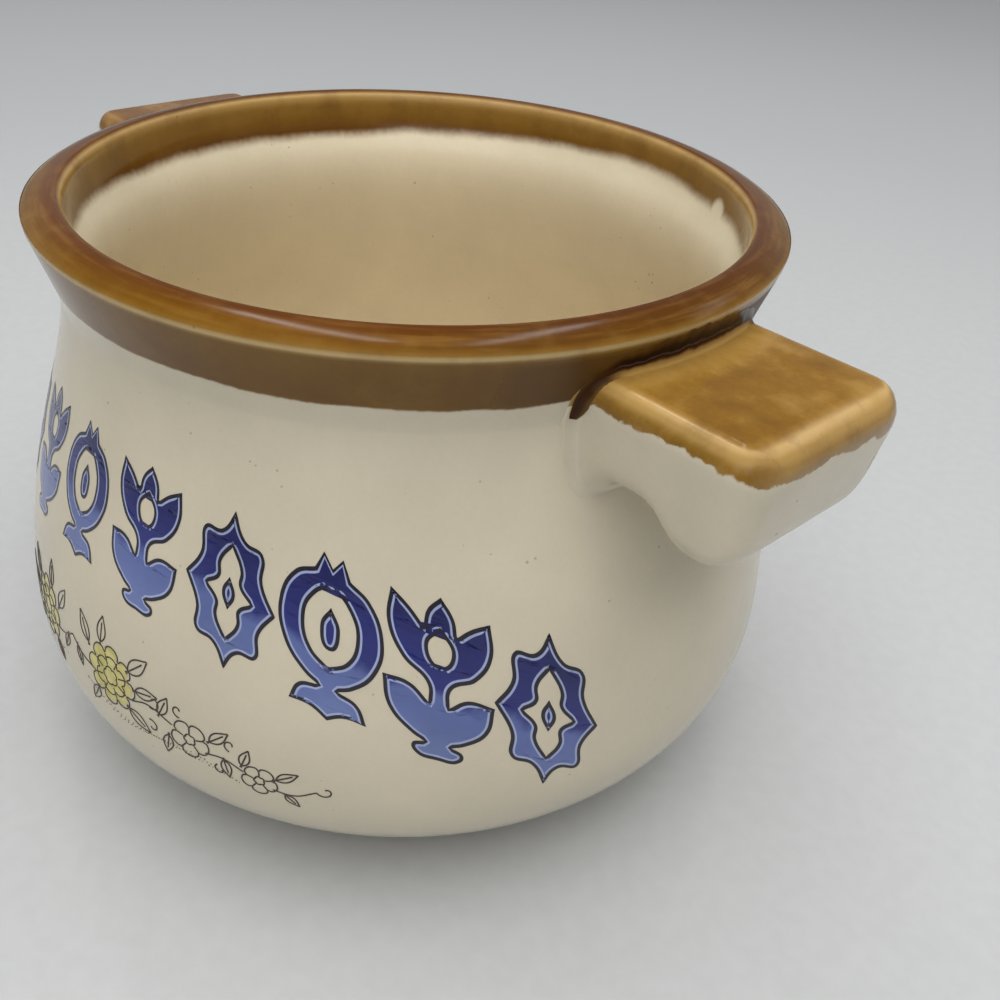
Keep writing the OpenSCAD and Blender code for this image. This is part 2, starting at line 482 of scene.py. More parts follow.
# Where the dip in amber ends: outside under the flare, and inside under the mouth, lower on the
# left and with one nick on the far right
dip_outside = 8.3
dip_inside = 12.5
dip_left = 2.3
nick_place = (0.0251, 0.0427, 0.0915)
nick_depth = 2.4
downward = maths(tree, "MULTIPLY", run, -1.0)
down = place_group(
    tree, poured_edge, Along=downward, Edge=dip_outside, Wave=1.3, Fray=0.35, Soft=0.5
)
leftward = maths(tree, "POWER", rescale(tree, place.outputs["X"], 0.0, -0.0487), 1.3)
inner_end = maths(tree, "MULTIPLY_ADD", leftward, dip_left, dip_inside)
off_nick = vectors(tree, "DISTANCE", spot, nick_place, "Value")
nick = rescale(tree, off_nick, 0.0012, 0.0028, nick_depth, 0.0)
inner_end = maths(tree, "SUBTRACT", inner_end, nick)
up = place_group(tree, poured_edge, Along=run, Edge=inner_end, Wave=1.6, Fray=0.5, Soft=2.3)
dipped = maths(tree, "MULTIPLY", down.outputs[0], up.outputs[0])

# The amber is deeper under the lip over each lug, and the lip is darker towards its two ends along
# X
aside = maths(tree, "ABSOLUTE", place.outputs["Y"])
by_lug = rescale(tree, aside, 0.034, 0.0165, smooth=True)
over_lug = maths(tree, "MULTIPLY", by_lug, rescale(tree, run, -0.6, -1.6))
amber = blend(tree, maths(tree, "MULTIPLY", over_lug, 0.8), amber, colour(78, 50, 12))
sideways = maths(tree, "ABSOLUTE", place.outputs["X"])
sideways = rescale(tree, sideways, 0.034, 0.054, to_high=0.65, smooth=True)
over_arris = rescale(tree, run, 0.4, 1.4)
before_mouth = rescale(tree, run, 6.2, 5.4)
on_lip = maths(tree, "MULTIPLY", over_arris, before_mouth)
amber = blend(tree, maths(tree, "MULTIPLY", sideways, on_lip), amber, colour(74, 40, 8))

# Pale and dark strokes along the lip, left by the dipping
stroke_pace = 80.0
brushed_along = add(
    tree,
    "ShaderNodeCombineXYZ",
    {
        0: maths(tree, "MULTIPLY", place.outputs["X"], stroke_pace),
        1: maths(tree, "MULTIPLY", place.outputs["Y"], stroke_pace),
        2: maths(tree, "MULTIPLY", run, 0.95),
    },
).outputs[0]
strokes = noise(tree, brushed_along, 1.0, 3)
pale_stroke = rescale(tree, strokes, 0.5, 0.7, to_high=0.22)
dark_stroke = rescale(tree, strokes, 0.49, 0.3, to_high=0.3)
amber = blend(tree, maths(tree, "MULTIPLY", pale_stroke, on_lip), amber, colour(156, 116, 56))
amber = blend(tree, maths(tree, "MULTIPLY", dark_stroke, on_lip), amber, colour(84, 44, 10))
amber = place_group(tree, mottled_amber, Colour=amber, Deep=0.3, Thin=0.09).outputs[0]
glazed = blend(tree, dipped, cream, amber)
glaze = place_group(tree, fired_glaze, Colour=glazed, Cloud=0.22, Specks=1.0, Gloss=0.16)
wire_glaze(tree, shader, glaze)

# Bare clay on the standing face, and a duller glaze over the lugs
height = maths(tree, "MULTIPLY", place.outputs["Z"], 1 / MM)
clay = place_group(tree, poured_edge, Along=height, Edge=1.0, Wave=0.5, Fray=0.2, Soft=0.15)
bare = maths(tree, "MULTIPLY", clay.outputs[0], maths(tree, "LESS_THAN", run, 0.0))
skin_colour = blend(tree, bare, glaze.outputs["Colour"], colour(186, 160, 124))
tree.links.new(skin_colour, shader.inputs["Base Color"])
dull_band = maths(tree, "MULTIPLY", over_lug, dipped)
duller = maths(tree, "MULTIPLY_ADD", dull_band, 0.3, glaze.outputs["Roughness"])
clay_roughness = 0.85
roughness = rescale(tree, bare, 0.0, 1.0, duller, clay_roughness)
tree.links.new(roughness, shader.inputs["Roughness"])
shader.inputs["Specular IOR Level"].default_value = 0.3


def ring_edges(bm, r, z):
    """Edges of the ring of the pot at [r, z]."""
    off = {v: math.hypot(math.hypot(v.co.x, v.co.y) - r * MM, v.co.z - z * MM) for v in bm.verts}
    return [e for e in bm.edges if max(off[v] for v in e.verts) < 1e-5]


bm = bmesh.new()
line = [bm.verts.new((r * MM, 0, z * MM)) for r, z in profile]
edges = [bm.edges.new(pair) for pair in zip(line, line[1:])]
bmesh.ops.spin(
    bm, geom=line + edges, cent=(0, 0, 0), axis=(0, 0, 1), dvec=(0, 0, 0),
    angle=math.tau, steps=spin_steps, use_merge=True, use_normal_flip=False, use_duplicate=False,
)
bmesh.ops.remove_doubles(bm, verts=bm.verts, dist=1e-6)
bmesh.ops.recalc_face_normals(bm, faces=bm.faces)
bmesh.ops.bevel(
    bm, geom=ring_edges(bm, rim_r, arris_z), offset=arris_bevel * MM, offset_type="OFFSET",
    segments=4, profile=0.5, affect="EDGES", material=-1,
)
run_layer = bm.verts.layers.float.new("run")
for v in bm.verts:
    v[run_layer] = run_at(math.hypot(v.co.x, v.co.y) / MM, v.co.z / MM)
pot = finish_mesh(bm, "pot", [pot_skin])
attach(pot, "root")
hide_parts("bowl")


# Lugs
# Each lug is a solid block of the same clay, cast with rounded edges and a hollow for the
# fingers, luted to the wall and faired into it. Its top is dipped in amber, its rest is cream.
lug_top = 89.6
left_lift = 1.0

# Depth under the lug's own top, and distance from the pot's axis, in millimetres
lug_skin, tree, shader = new_material("amber_dipped_lug")
spot = object_place(tree)
place = axes(tree, spot)
on_left = maths(tree, "LESS_THAN", place.outputs["X"], 0.0)
own_top = maths(tree, "MULTIPLY_ADD", on_left, left_lift, lug_top)
depth = maths(tree, "SUBTRACT", own_top, maths(tree, "MULTIPLY", place.outputs["Z"], 1 / MM))
level_part = vectors(tree, "MULTIPLY", spot, (1 / MM, 1 / MM, 0))
out = vectors(tree, "LENGTH", level_part, gives="Value")
facings = axes(tree, add(tree, "ShaderNodeNewGeometry", {}).outputs["Normal"])
facing_up = facings.outputs["Z"]

# The amber is thin and light on the rounded edges, its pale band there partly a painted highlight,
# and thick just above its poured end
edge_thinning_and_highlight = ramp(
    tree,
    facing_up,
    [
        (0.0, colour(118, 84, 22)),
        (0.4, colour(132, 98, 36)),
        (0.75, colour(164, 132, 76)),
        (0.92, colour(188, 156, 102)),
        (0.985, colour(144, 108, 50)),
        (1.0, colour(132, 95, 34)),
    ],
)
dip_near = 3.3
dip_far = 5.1
dip_by_wall = 1.7
edge = rescale(tree, place.outputs["Y"], -0.012, 0.009, dip_near, dip_far)
edge = maths(tree, "ADD", edge, rescale(tree, out, 57.0, 54.6, to_high=dip_by_wall))
above_edge = maths(tree, "SUBTRACT", edge, depth)
thick = maths(tree, "MULTIPLY", rescale(tree, above_edge, 1.9, 0.6, smooth=True), 0.75)
amber = blend(tree, thick, edge_thinning_and_highlight, colour(128, 92, 26))
root_fade = [(0.0, grey(0.7)), (0.3, grey(0.6)), (1.0, grey(0))]
near_root = ramp(tree, rescale(tree, out, 55.5, 63.5), root_fade)
on_top = rescale(tree, facing_up, 0.6, 0.95)
amber = blend(tree, maths(tree, "MULTIPLY", near_root, on_top), amber, colour(158, 124, 62))
# The lug's end that faces +X is painted lighter, as painted light falling on it
painted_lit_end = rescale(tree, facings.outputs["X"], 0.6, 0.95, to_high=0.7)
amber = blend(tree, painted_lit_end, amber, colour(156, 126, 78))
amber = blend(tree, maths(tree, "MULTIPLY", on_left, 0.6), amber, colour(112, 70, 34))
amber = place_group(tree, mottled_amber, Colour=amber, Deep=0.4, Thin=0.5).outputs[0]
dip = place_group(
    tree, poured_edge, Along=depth, Edge=edge, Wave=3.2, Pace=150, Fray=1.15, Soft=0.35
)
glazed = blend(tree, dip.outputs[0], cream_glaze, amber)
glaze = place_group(tree, fired_glaze, Colour=glazed, Cloud=0.3, Specks=1.0, Gloss=0.15)
wire_glaze(tree, shader, glaze, 0.0004)
shader.inputs["Specular IOR Level"].default_value = 0.3


def on_wall(co, slack=0.12):
    """Whether a point in metres lies on the pot's outside, give or take slack millimetres."""
    return abs(math.hypot(co.x, co.y) / MM - wall_radius(co.z / MM)) < slack


def wall_normal(co):
    """The outward direction of the pot's outside at the height of a point in metres."""
    z = co.z / MM
    step = 0.4
    slope = (wall_radius(z + step) - wall_radius(z - step)) / (2 * step)
    return Vector((co.x, co.y, -slope * math.hypot(co.x, co.y))).normalized()


def glazed_lug(node):
    """The lug's own solid with its facets joined, its shading run into the wall's."""
    # Millimetres off the wall over which the shading turns from the wall's to the lug's own
    fade = 1.8
    bm = bmesh.new()
    bm.from_mesh(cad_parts[node].data)
    bmesh.ops.remove_doubles(bm, verts=bm.verts, dist=2e-6)
    bm.normal_update()
    skin = bm.copy()
    seat = [f for f in skin.faces if all(on_wall(v.co) for v in f.verts)]
    bmesh.ops.delete(skin, geom=seat, context="FACES_ONLY")
    skin.normal_update()
    skin.verts.ensure_lookup_table()
    normals = []
    for v in skin.verts:
        off = math.hypot(v.co.x, v.co.y) / MM - wall_radius(v.co.z / MM)
        # 1 where the lug keeps its own shading, away from the wall and on top, and 0 at the wall
        own = min(1, max(0, off / fade, (v.normal.z - 0.2) / 0.5))
        own = own * own * (3 - 2 * own)
        normals.append(wall_normal(v.co).lerp(v.normal, own).normalized())
    skin.free()
    piece = finish_mesh(bm, node + "_glazed", [lug_skin], 180)
    piece.data.normals_split_custom_set_from_vertices(normals)
    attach(piece, "root")
    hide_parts(node)


for node in ("lug_right", "lug_left"):
    glazed_lug(node)


# Glaze pools
# In the kiln the amber glaze ran down the lip and gathered in the corner over each lug. It is
# a hollow-faced bead of nearly black glass along the joint, drawn out to a drip at both ends.
pool_skin, tree, shader = new_material("pooled_dark_glaze")
along = attribute(tree, "along")
wobble = swing(tree, noise(tree, object_place(tree), 420, 3), 0.22)
across = maths(tree, "ADD", attribute(tree, "across"), wobble)
# Across the bead, its dark glass carries a thin lavender line at 0.4 that is a painted reflection
pool_tone_and_painted_streak = ramp(
    tree,
    across,
    [
        (0.0, colour(94, 66, 28)),
        (0.1, colour(72, 44, 16)),
        (0.22, colour(30, 12, 4)),
        (0.34, colour(26, 10, 6)),
        (0.4, colour(80, 56, 54)),
        (0.45, colour(28, 10, 4)),
        (0.53, colour(70, 44, 18)),
        (0.62, colour(146, 112, 60)),
        (0.8, colour(166, 132, 72)),
        (1.0, colour(152, 116, 56)),
    ],
    "LINEAR",
)
drip_tone = ramp(
    tree,
    across,
    [
        (0.0, colour(92, 64, 22)),
        (0.2, colour(66, 38, 6)),
        (0.5, colour(52, 26, 2)),
        (0.8, colour(62, 36, 8)),
        (1.0, colour(96, 70, 32)),
    ],
    "LINEAR",
)
dripping = rescale(tree, along, 11.5, 15.0, smooth=True)
tone = blend(tree, dripping, pool_tone_and_painted_streak, drip_tone)
glaze = place_group(tree, fired_glaze, Colour=tone, Cloud=0.3, Specks=0.0, Gloss=0.25)
wire_glaze(tree, shader, glaze)
shader.inputs["Specular IOR Level"].default_value = 0.12

# The lug's outline where it meets the wall, and the pool's shape along it, in millimetres:
# distance along the joint from its middle, reach up the wall and reach out over the lug
lug_half = 16.4
lug_edge = 3.4
root_spread = 0.25
pool_reach = [
    (0.0, 4.0, 1.4),
    (4.6, 3.8, 1.4),
    (7.7, 3.45, 1.4),
    (10.6, 3.1, 1.4),
    (13.0, 2.5, 1.3),
    (14.2, 1.7, 1.3),
    (15.6, 1.0, 1.4),
    (17.4, 0.5, 1.8),
    (19.0, 0.35, 1.9),
    (20.2, 0.25, 1.5),
    (21.2, 0.05, 0.9),
]
pool_end = pool_reach[-1][0]

# Sections on each side of the middle, and points over the hollow face of each
pool_sections = 49
pool_points = 11

# How far the bead stands off the wall and the lug, how deep its hidden edge is buried, the
# place that its hollow face is drawn in to, how far its outer edge sinks into the lug, and how
# near the lug a point is to be lifted clear of it, in millimetres
pool_lift = 0.03
pool_root = 0.8
hollow_reach = 0.3
hollow_lift = 0.12
end_sink = 0.04
seat_reach = 1.5


def reach_at(s):
    """How far the pool reaches up the wall and out over the lug, at s along the joint."""
    for (s0, up0, out0), (s1, up1, out1) in zip(pool_reach, pool_reach[1:]):
        if s <= s1:
            t = (s - s0) / (s1 - s0)
            return up0 + t * (up1 - up0), out0 + t * (out1 - out0)
    return pool_reach[-1][1:]


def joint_at(s, top):
    """At s along the joint: its point [y, z] on the wall, on the lug, and its outward turn."""
    flat = lug_half + root_spread - lug_edge
    turn = min(math.pi / 2, max(0, (s - flat) / lug_edge))
    down = max(0, s - flat - lug_edge * math.pi / 2)
    y = min(s, flat) + lug_edge * math.sin(turn)
    z = top - lug_edge * (1 - math.cos(turn)) - down
    return (y, z), (y - root_spread * y / (flat + lug_edge), z), (math.sin(turn), math.cos(turn))


def wall_point(y, z, lift=0.0):
    """Point in millimetres over the wall on the +X side, from its y and height."""
    return Vector((math.sqrt((wall_at(z) + lift) ** 2 - y * y), y, z))


def lug_surface(node, turn_deg):
    """The lug's surface without its seat on the wall, in millimetres, turned to +X."""
    skin = bmesh.new()
    skin.from_mesh(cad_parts[node].data)
    skin.transform(Matrix.Rotation(math.radians(-turn_deg), 4, "Z") @ Matrix.Scale(1 / MM, 4))
    seat = [f for f in skin.faces if all(on_wall(v.co * MM) for v in f.verts)]
    bmesh.ops.delete(skin, geom=seat, context="FACES")
    surface = BVHTree.FromBMesh(skin)
    skin.free()
    return surface


def pool_section(bm, surface, s, way, top):
    """Vertices of one section of a pool: its hollow face, then one point buried in the joint."""
    across_layer = bm.verts.layers.float["across"]
    along_layer = bm.verts.layers.float["along"]
    (wall_y, wall_z), (lug_y, lug_z), (turn_y, turn_z) = joint_at(s, top)
    up, out = reach_at(s)
    # The upper edge wavers a little, as if poured
    waves = 1 + 0.05 * math.sin(1.3 * s + way) + 0.04 * math.sin(3.1 * s)
    up *= waves
    start = wall_point(wall_y + up * turn_y, wall_z + up * turn_z, pool_lift)
    corner = wall_point(
        wall_y + hollow_reach * turn_y, wall_z + hollow_reach * turn_z, hollow_lift
    )
    end = wall_point(lug_y, lug_z) + Vector((out, -end_sink * turn_y, -end_sink * turn_z))
    section = []
    for k in range(pool_points):
        t = k / (pool_points - 1)
        p = (1 - t) ** 2 * start + 2 * t * (1 - t) * corner + t * t * end
        p.y *= way
        nearest, normal, _, off = surface.find_nearest(p)
        inner = k < pool_points - 1
        if inner and off < seat_reach and (p - nearest).dot(normal) < pool_lift:
            p = nearest + pool_lift * normal
        grow = max(1, (wall_at(p.z) + pool_lift) / math.hypot(p.x, p.y))
        v = bm.verts.new((p.x * grow, p.y * grow, p.z))
        v[across_layer] = t
        v[along_layer] = s
        section.append(v)
    buried_y = (wall_y + lug_y) / 2 - pool_root * turn_y
    buried = wall_point(buried_y, lug_z - pool_root * turn_z, -pool_root)
    buried.y *= way
    section.append(bm.verts.new(buried))
    return section


def glaze_pool(node, top, turn_deg):
    """The bead of dark glaze over one lug, closed all round."""
    surface = lug_surface(node, turn_deg)
    bm = bmesh.new()
    bm.verts.layers.float.new("across")
    bm.verts.layers.float.new("along")
    sections = []
    for i in range(-pool_sections, pool_sections + 1):
        s = abs(i) / pool_sections * pool_end
        sections.append(pool_section(bm, surface, s, -1 if i < 0 else 1, top))
    for one, two in zip(sections, sections[1:]):
        for k in range(pool_points + 1):
            j = (k + 1) % (pool_points + 1)
            bm.faces.new((one[k], one[j], two[j], two[k]))
    bm.faces.new(sections[0])
    bm.faces.new(list(reversed(sections[-1])))
    bmesh.ops.triangulate(bm, faces=bm.faces)
    bm.transform(Matrix.Scale(MM, 4) @ Matrix.Rotation(math.radians(turn_deg), 4, "Z"))
    bmesh.ops.recalc_face_normals(bm, faces=bm.faces)
    piece = finish_mesh(bm, node + "_glaze_pool", [pool_skin], 60)
    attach(piece, "root")


glaze_pool("lug_right", lug_top, 0)
glaze_pool("lug_left", lug_top + left_lift, 180)


# Printed border
# A row of blue ornaments stands in an arch round the front. It is a transfer print under the
# clear glaze: cobalt, its pale lower half a painted reflection, inside a near-black outline and a
# fine light line that is a painted highlight.
# Cobalt from the foot of the print to its top; the pale lower half is a painted reflection
cobalt_and_reflection_run = [
    (0.0, colour(98, 112, 160)),
    (0.38, colour(84, 98, 152)),
    (0.5, colour(30, 37, 106)),
    (1.0, colour(20, 23, 78)),
]
blue_print_and_reflection, tree, shader = new_material("cobalt_print")
wash = swing(tree, noise(tree, object_place(tree), 160, 3), 7.0)
level = maths(tree, "ADD", attribute(tree, "rise"), wash)
tone = ramp(tree, rescale(tree, level, -11, 11), cobalt_and_reflection_run)
glaze = place_group(tree, fired_glaze, Colour=tone, Cloud=0.9, Specks=0.0, Gloss=0.2)
wire_glaze(tree, shader, glaze)


def line_print_skin(name, shade, cloud, gloss):
    """A printed line of one ceramic colour."""
    material, tree, shader = new_material(name)
    glaze = place_group(tree, fired_glaze, Colour=shade, Cloud=cloud, Specks=0.0, Gloss=gloss)
    wire_glaze(tree, shader, glaze)
    return material


dark_line = line_print_skin("dark_line_print", colour(24, 20, 34), 0.6, 0.22)
# The fine light line inside each outline is a painted highlight
painted_highlight_line = line_print_skin("painted_highlight_line_print", colour(150, 160, 196), 0.6, 0.2)

# Right halves of the outlines in millimetres, from top to bottom: a cartouche, a tulip and a
# pomegranate. A third value of 1 makes that point sharp.
ornaments = {
    "cartouche": [
        [
            (0, 10.6, 1), (1.9, 7.6), (4.6, 7.0), (4.9, 3.4), (7.0, 0, 1),
            (4.9, -3.4), (4.6, -7.0), (1.9, -7.6), (0, -10.6, 1),
        ],
        [(0, 6.0, 1), (1.5, 3.6), (1.5, 1.6), (3.3, 0, 1), (1.5, -1.6), (1.5, -3.6), (0, -6.0, 1)],
        [(0, 2.2, 1), (1.0, 0), (0, -2.2, 1)],
    ],
    "tulip": [
        [
            (0, 10.6, 1), (1.7, 8.6), (2.1, 6.6, 1), (3.9, 8.2), (6.3, 9.6, 1), (6.6, 5.6),
            (4.6, 2.0), (1.5, -0.2), (1.3, -2.6, 1), (3.6, -0.9), (7.0, -0.9, 1), (6.2, -4.8),
            (3.4, -7.4), (1.7, -8.2, 1), (3.2, -9.0), (2.6, -10.3), (0, -10.6),
        ],
        [(0, 6.6, 1), (1.5, 4.4), (0, 2.4)],
    ],
    "pomegranate": [
        [
            (0, 9.0, 1), (1.3, 10.6, 1), (2.4, 8.4, 1), (5.0, 7.0), (6.9, 2.8), (6.0, -1.8),
            (3.2, -5.0), (1.3, -6.0, 1), (3.8, -6.8), (5.0, -9.4, 1), (2.2, -9.4), (0, -10.6, 1),
        ],
        [(0, 6.4), (2.6, 4.6), (3.4, 1.6), (2.3, -1.6), (0, -3.2, 1)],
        [(0, 4.4, 1), (1.3, 1.8), (0, -1.0)],
    ],
}

# Their height as drawn, the size of the print's faces, and the widths of its two lines
drawn_h = 21.2
cut_step = 1.5
outline_wide = 0.5
highlight_line_wide = 0.28


def outline(spline, half):
    """A closed curve through the right half's points and their mirror image."""
    points = half + [(-p[0], *p[1:]) for p in reversed(half) if p[0] > 0]
    spline.bezier_points.add(len(points) - 1)
    for knot, p in zip(spline.bezier_points, points):
        knot.co = (p[0] * MM, p[1] * MM, 0)
        kind = "VECTOR" if len(p) > 2 else "AUTO"
        knot.handle_left_type = kind
        knot.handle_right_type = kind
    spline.use_cyclic_u = True


def new_curve(name, dimensions):
    """An empty curve, filled where it is flat."""
    shape = bpy.data.curves.new(name, "CURVE")
    shape.dimensions = dimensions
    if dimensions == "2D":
        shape.fill_mode = "BOTH"
    return shape


def mesh_of(shape):
    """The mesh that a curve makes, as a bmesh, with the curve taken away again."""
    guide = bpy.data.objects.new("guide", shape)
    bpy.context.scene.collection.objects.link(guide)
    depsgraph = bpy.context.evaluated_depsgraph_get()
    mesh = bpy.data.meshes.new_from_object(guide.evaluated_get(depsgraph))
    bpy.data.objects.remove(guide)
    bpy.data.curves.remove(shape)
    bm = bmesh.new()
    bm.from_mesh(mesh)
    bpy.data.meshes.remove(mesh)
    bmesh.ops.remove_doubles(bm, verts=bm.verts, dist=1e-6)
    return bm


def cut_to_grid(bm, step):
    """Cuts a flat print into small faces, so that it can bend round the pot."""
    for axis in (0, 1):
        low = min(v.co[axis] for v in bm.verts)
        high = max(v.co[axis] for v in bm.verts)
        across = Vector((axis == 0, axis == 1, 0))
        for i in range(1, math.ceil((high - low) / step)):
            everything = bm.verts[:] + bm.edges[:] + bm.faces[:]
            cut = across * (low + i * step)
            bmesh.ops.bisect_plane(bm, geom=everything, plane_co=cut, plane_no=across, dist=1e-7)


def on_pot(around, z, lift):
    """Point over the pot's outside, from degrees, a height and a lift in millimetres."""
    r = (wall_at(z) + lift) * MM
    turn = math.radians(around)
    return Vector((r * math.cos(turn), r * math.sin(turn), z * MM))


def ornament_print(kind):
    """A flat ornament with its ring of outline, its light line of painted highlight and its fill,
    as a bmesh.
    """
    shape = new_curve(kind, "2D")
    shape.resolution_u = 8
    for half in ornaments[kind]:
        outline(shape.splines.new("BEZIER"), half)
    bm = mesh_of(shape)
    for wide, material in ((outline_wide, 1), (highlight_line_wide, 2)):
        fill = [f for f in bm.faces if f.material_index == 0]
        ring = bmesh.ops.inset_region(
            bm, faces=fill, thickness=wide * MM, use_boundary=True, use_even_offset=False
        )
        for f in ring["faces"]:
            f.material_index = material
    cut_to_grid(bm, cut_step * MM)
    return bm


# The row's places in degrees from the middle, the arch, and the ornaments' height, which
# grows a little outwards from the middle
row = ["pomegranate", "tulip", "cartouche", "pomegranate", "tulip", "cartouche"]
row_turns = [0, 14, 28, 41.5, 55, 69]
front = -90
arch_top = 62
arch_fall = 0.0041
print_h = 20
print_growth = 5.5
growth_start = 10
growth_span = 58
print_narrowing = 0.95
print_lift = 0.05
prints = {kind: ornament_print(kind) for kind in ornaments}


def place_print(kind, turn, name):
    """Bends a copy of a flat ornament onto the pot, turn degrees from the middle."""
    grown = print_growth * max(0, abs(turn) - growth_start) / growth_span
    size = (print_h + grown) / drawn_h
    radius = wall_at(arch_top - arch_fall * turn ** 2)
    bm = prints[kind].copy()
    rise_layer = bm.verts.layers.float.new("rise")
    for v in bm.verts:
        x = print_narrowing * v.co.x / MM * size
        y = v.co.y / MM
        around = turn + math.degrees(x / radius)
        v[rise_layer] = y
        v.co = on_pot(front + around, arch_top - arch_fall * around ** 2 + y * size, print_lift)
    bmesh.ops.recalc_face_normals(bm, faces=bm.faces)
    if sum((f.normal.dot(f.calc_center_median()) for f in bm.faces), 0.0) < 0:
        bmesh.ops.reverse_faces(bm, faces=bm.faces)
    piece = finish_mesh(bm, name, [blue_print_and_reflection, dark_line, painted_highlight_line], 180)
    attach(piece, "root")


for way in (1, -1):
    for i, (kind, turn) in enumerate(zip(row, row_turns)):
        if i > 0 or way > 0:
            place_print(kind, turn * way, "print_%s_%d" % (kind, i * way))


# Flower spray
# Under the arch lies a garland in fine brown line, the same on both sides of the middle. Its
# two full blooms are tinted yellow. It is printed under the glaze with the ornaments.
brown_line = line_print_skin("brown_line_print", colour(58, 44, 38), 1.0, 0.22)
yellow, tree, shader = new_material("yellow_print")
wash = noise(tree, object_place(tree), 420, 2)
tone = ramp(tree, wash, [(0.35, colour(186, 176, 92)), (0.65, colour(206, 196, 124))])
glaze = place_group(tree, fired_glaze, Colour=tone, Cloud=0.4, Specks=0.0, Gloss=0.2)
wire_glaze(tree, shader, glaze)


def petals(x, y, size, count, depth, turn=0.0, steps=9):
    """Closed outline of a bloom with count round petals."""
    points = []
    for i in range(count * steps):
        a = math.tau * i / (count * steps)
        lobe = abs(math.sin(a * count / 2)) ** 0.6
        r = size * (1 - depth + depth * lobe)
        points.append((x + r * math.cos(a + turn), y + r * math.sin(a + turn)))
    return points


def leaf(x, y, turn_deg, length, width, steps=12):
    """Outline of a pointed leaf from its stalk, and its middle vein."""
    vein_shares = (0, 0.25, 0.5, 0.75)
    cos = math.cos(math.radians(turn_deg))
    sin = math.sin(math.radians(turn_deg))
    edge = []
    for i in range(2 * steps + 1):
        t = i / steps
        share = t if t <= 1 else 2 - t
        along = length * share
        half = width / 2 * math.sin(math.pi * share ** 0.8) * (1 if t <= 1 else -1)
        edge.append((x + along * cos - half * sin, y + along * sin + half * cos))
    vein = [(x + length * t * cos, y + length * t * sin) for t in vein_shares]
    return edge, vein


def curl(x, y, turn_deg, size, way, steps=22):
    """A tendril that winds in on itself, to the left or, with way -1, to the right."""
    winding = 4.6
    shrink_share = 0.8
    start = math.radians(turn_deg)
    middle_x = x + size * math.cos(start)
    middle_y = y + size * math.sin(start)
    points = []
    for i in range(steps):
        t = i / (steps - 1)
        a = start + way * winding * t
        r = size * (1 - shrink_share * t)
        points.append((middle_x - r * math.cos(a), middle_y - r * math.sin(a)))
    return points


# How deep petals are parted, their turn in radians, and a bloom's heart and folds, all but the
# turn as shares of its radius
petal_depth = 0.26
petal_turn = 0.3
heart_share = 0.3
fold_shares = (0.36, 0.52, 0.7)

# The right half of the garland, in millimetres from the middle and over the table: blooms as
# x, height, radius and number of petals, leaves as x, height, turn, length and width, curls as
# x, height, turn, radius and way
blooms = [(10.5, 37.0, 5.4, 8), (26.0, 33.4, 3.3, 5), (37.0, 29.8, 2.8, 5)]
inner_petals = (10.5, 37.0, 3.5, 6, 0.24, 0.9)
stems = [
    [(0, 38.4), (3.0, 36.6), (6.0, 36.0)],
    [(15.2, 35.2), (18.5, 36.2), (23.0, 34.8)],
    [(28.6, 32.0), (31.5, 32.2), (34.6, 30.8)],
    [(39.0, 28.6), (42.0, 28.2), (45.5, 29.8)],
]
leaves = [
    (5.0, 40.2, 118, 5.0, 2.2), (8.2, 42.0, 84, 4.6, 2.0), (14.6, 40.2, 42, 5.2, 2.4),
    (16.0, 37.4, 12, 4.4, 2.0), (14.4, 33.2, -32, 4.8, 2.2), (7.0, 32.8, -118, 3.8, 1.9),
    (20.6, 35.6, 66, 4.0, 1.8), (22.2, 32.4, -100, 3.8, 1.8), (29.4, 34.6, 40, 4.0, 1.8),
    (31.6, 32.0, -78, 3.4, 1.6), (34.4, 32.0, 70, 3.4, 1.6), (39.6, 30.8, 30, 3.8, 1.6),
    (40.8, 28.0, -50, 3.0, 1.4), (1.6, 37.4, -70, 3.4, 1.5),
]
curls = [
    (18.8, 36.0, 60, 1.5, 1), (24.4, 36.8, 100, 1.2, -1), (32.6, 34.0, 80, 1.2, -1),
    (45.5, 29.8, 20, 1.4, 1), (30.4, 30.6, -60, 1.1, 1), (18.6, 33.6, -70, 1.3, -1),
]
closed_lines = []
open_lines = []
for x, y, size, count in blooms:
    closed_lines.append(petals(x, y, size, count, petal_depth, petal_turn))
    closed_lines.append(petals(x, y, size * heart_share, 5, 0.2))
    for i in range(count):
        a = petal_turn + math.tau * i / count
        cos = math.cos(a)
        sin = math.sin(a)
        open_lines.append([(x + size * r * cos, y + size * r * sin) for r in fold_shares])
closed_lines.append(petals(*inner_petals))
open_lines += stems
for values in leaves:
    edge, vein = leaf(*values)
    closed_lines.append(edge)
    open_lines.append(vein)
open_lines += [curl(*values) for values in curls]

# Dots that shade the ground under the blooms, spread evenly by steps of the golden ratio
dot_count = 90
ground_x = 4.0
ground_w = 30.0
ground_z = 32.84
ground_h = 1.9
ground_slope = 0.16
stipple = []
for i in range(dot_count):
    along = ground_w * (i * 0.618034 % 1)
    spread = ground_h * math.sin(i * 2.4) * (0.4 + 0.6 * (i * 0.7548 % 1))
    stipple.append((ground_x + along, ground_z - ground_slope * along + spread))


def line_print(name, wide):
    """The garland's lines as fine raised tubes on the flat, on both sides of the middle."""
    shape = new_curve(name, "3D")
    shape.bevel_depth = wide / 2 * MM
    shape.bevel_resolution = 1
    lines = [(points, True) for points in closed_lines] + [(points, False) for points in open_lines]
    for mirror in (1, -1):
        for points, cyclic in lines:
            spline = shape.splines.new("BEZIER")
            spline.bezier_points.add(len(points) - 1)
            for knot, (x, y) in zip(spline.bezier_points, points):
                knot.co = (mirror * x * MM, y * MM, 0)
                knot.handle_left_type = "AUTO"
                knot.handle_right_type = "AUTO"
            spline.use_cyclic_u = cyclic
            spline.resolution_u = 3 if len(points) > 8 else 8
    bm = mesh_of(shape)
    bmesh.ops.recalc_face_normals(bm, faces=bm.faces)
    return bm


